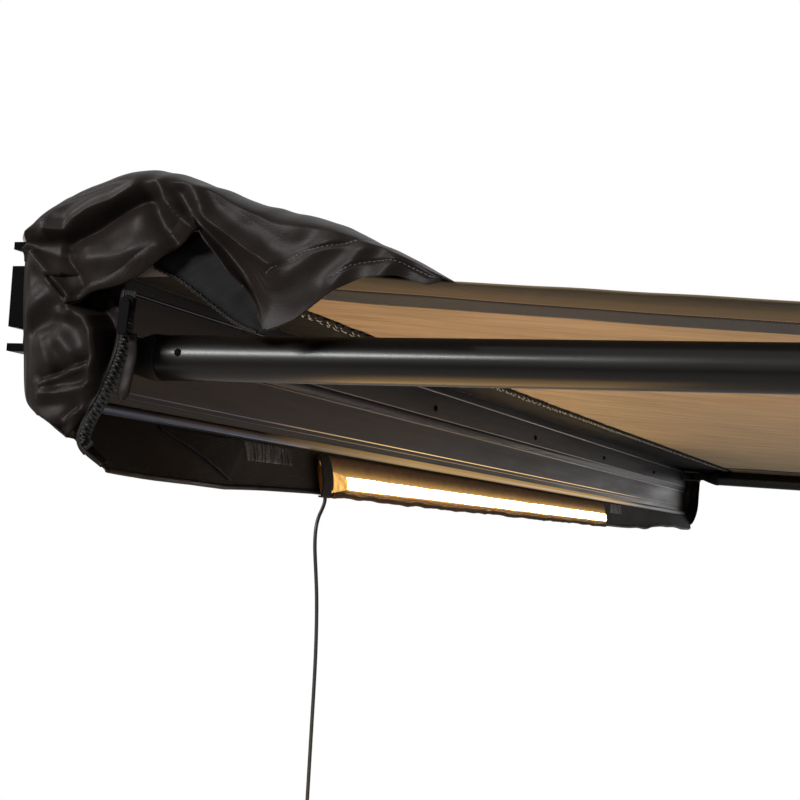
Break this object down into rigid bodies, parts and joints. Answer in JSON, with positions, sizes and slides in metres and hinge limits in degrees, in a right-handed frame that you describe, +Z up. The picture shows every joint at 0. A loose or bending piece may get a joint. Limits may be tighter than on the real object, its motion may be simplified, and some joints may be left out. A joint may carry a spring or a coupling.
{
  "type": "vehicle side awning",
  "caption": "Roof-rack side awning, opened out: backing extrusion, telescopic swing arms, canopy to a front rail with folding legs, open soft bag and a light strip with its lead.",
  "frame": {"origin": "middle of the backing extrusion's flat rear land, where it meets the rack's bracket", "axes": "+Y away from the vehicle, the way the canopy runs out; +Z up; +X along the awning towards its near end, the one with the shown zip"},
  "size_m": [2.5364, 2.0768, 2.0589],
  "materials": {
    "anodised": "satin dark anodised",
    "arm_black": "satin black anodised",
    "inner_alloy": "satin grey anodised",
    "moulded_black": "fine moulded grain",
    "steel": "plated",
    "sole_rubber": "matte",
    "canopy_tan": "woven, coated above",
    "webbing_grey": "woven band",
    "bag_black": "coated cloth with leather grain",
    "bag_inner": "scrim weave",
    "tape_grey": "hook tape",
    "pouch_brown": "fine mesh",
    "strip_white": "lit diffuser",
    "zip_black": "moulded teeth on tape",
    "cord_black": "satin jacket"
  },
  "bodies": {
    "awning_base": {"backing_extrusion": "anodised", "arm_bracket_near": "anodised", "arm_bracket_far": "anodised", "end_cap_near": "moulded_black", "end_cap_far": "moulded_black", "arm_hinge_pin_near": "steel", "arm_hinge_pin_far": "steel", "canopy": "canopy_tan", "canopy_webbing_near": "webbing_grey", "canopy_webbing_far": "webbing_grey", "tie_strap": "webbing_grey", "bag_top_flap": "bag_black", "bag_end_near": "bag_black", "bag_end_far": "bag_black", "canopy_header": "bag_inner", "bag_lower_flap": "bag_inner", "hook_tape_near": "tape_grey", "hook_tape_far": "tape_grey", "led_pouch": "pouch_brown", "led_strip": "strip_white", "bag_zip": "zip_black", "cord_relief": "cord_black", "cord": "cord_black", "cord_coil": "cord_black", "cord_tie": "cord_black", "cord_plug": "cord_black"},
    "front_rail": {"front_rail": "anodised", "rail_cap_near": "moulded_black", "rail_cap_far": "moulded_black", "leg_hinge_pin_near": "steel", "leg_hinge_pin_far": "steel"},
    "zip_slider": {"zip_slider": "steel"},
    "zip_pull": {"zip_pull": "steel"},
    "near_arm": {"arm_knuckle_near": "moulded_black", "arm_outer_tube_near": "arm_black"},
    "near_arm_inner": {"arm_inner_tube_near": "inner_alloy", "arm_tip_near": "moulded_black"},
    "near_arm_lock": {"arm_twist_lock_near": "moulded_black"},
    "near_leg": {"leg_head_near": "moulded_black", "leg_outer_tube_near": "arm_black"},
    "near_leg_inner": {"leg_inner_tube_near": "inner_alloy", "leg_foot_near": "sole_rubber"},
    "near_leg_lock": {"leg_twist_lock_near": "moulded_black"},
    "far_arm": {"arm_knuckle_far": "moulded_black", "arm_outer_tube_far": "arm_black"},
    "far_arm_inner": {"arm_inner_tube_far": "inner_alloy", "arm_tip_far": "moulded_black"},
    "far_arm_lock": {"arm_twist_lock_far": "moulded_black"},
    "far_leg": {"leg_head_far": "moulded_black", "leg_outer_tube_far": "arm_black"},
    "far_leg_inner": {"leg_inner_tube_far": "inner_alloy", "leg_foot_far": "sole_rubber"},
    "far_leg_lock": {"leg_twist_lock_far": "moulded_black"}
  },
  "joints": [
    {"name": "rail_slide", "type": "slide", "parent": "awning_base", "child": "front_rail", "axis": [0, -1, 0], "range_m": [0, 0.8], "deforming": ["canopy", "canopy_header", "canopy_webbing_near", "canopy_webbing_far"]},
    {"name": "near_arm_swing", "type": "hinge", "parent": "awning_base", "child": "near_arm", "pos_m": [1.22, 0.048, -0.035], "axis": [0, 0, 1], "range_deg": [0, 90]},
    {"name": "near_arm_telescope", "type": "slide", "parent": "near_arm", "child": "near_arm_inner", "axis": [0, -1, 0], "range_m": [0, 0.8]},
    {"name": "near_arm_lock_twist", "type": "hinge", "parent": "near_arm", "child": "near_arm_lock", "pos_m": [1.22, 0.048, -0.035], "axis": [0, 1, 0], "range_deg": [0, 60]},
    {"name": "near_leg_fold", "type": "hinge", "parent": "front_rail", "child": "near_leg", "pos_m": [1.215, 2.052, -0.038], "axis": [0, 1, 0], "range_deg": [0, 90]},
    {"name": "near_leg_telescope", "type": "slide", "parent": "near_leg", "child": "near_leg_inner", "axis": [0, 0, 1], "range_m": [0, 0.78]},
    {"name": "near_leg_lock_twist", "type": "hinge", "parent": "near_leg", "child": "near_leg_lock", "pos_m": [1.215, 2.052, -0.038], "axis": [0, 0, 1], "range_deg": [0, 60]},
    {"name": "far_arm_swing", "type": "hinge", "parent": "awning_base", "child": "far_arm", "pos_m": [-1.22, 0.048, 0.013], "axis": [0, -0.0242, -0.9997], "range_deg": [0, 90]},
    {"name": "far_arm_telescope", "type": "slide", "parent": "far_arm", "child": "far_arm_inner", "axis": [0, -0.9997, 0.0242], "range_m": [0, 0.8]},
    {"name": "far_arm_lock_twist", "type": "hinge", "parent": "far_arm", "child": "far_arm_lock", "pos_m": [-1.22, 0.048, 0.013], "axis": [0, 0.9997, -0.0242], "range_deg": [0, 60]},
    {"name": "far_leg_fold", "type": "hinge", "parent": "front_rail", "child": "far_leg", "pos_m": [-1.215, 2.052, -0.038], "axis": [0, -1, 0], "range_deg": [0, 90]},
    {"name": "far_leg_telescope", "type": "slide", "parent": "far_leg", "child": "far_leg_inner", "axis": [0, 0, 1], "range_m": [0, 0.78]},
    {"name": "far_leg_lock_twist", "type": "hinge", "parent": "far_leg", "child": "far_leg_lock", "pos_m": [-1.215, 2.052, -0.038], "axis": [0, 0, 1], "range_deg": [0, 60]},
    {"name": "zip_slide", "type": "slide", "parent": "awning_base", "child": "zip_slider", "axis": [0, -0.0629, -0.998], "range_m": [0, 0.02]},
    {"name": "zip_pull_flip", "type": "hinge", "parent": "zip_slider", "child": "zip_pull", "pos_m": [1.2638, 0.09111, -0.00324], "axis": [0, -0.998, 0.0629], "range_deg": [0, 150]}
  ],
  "couplings": [
    {"joint": "near_arm_telescope", "follows": "rail_slide", "ratio": 1},
    {"joint": "far_arm_telescope", "follows": "rail_slide", "ratio": 1}
  ]
}
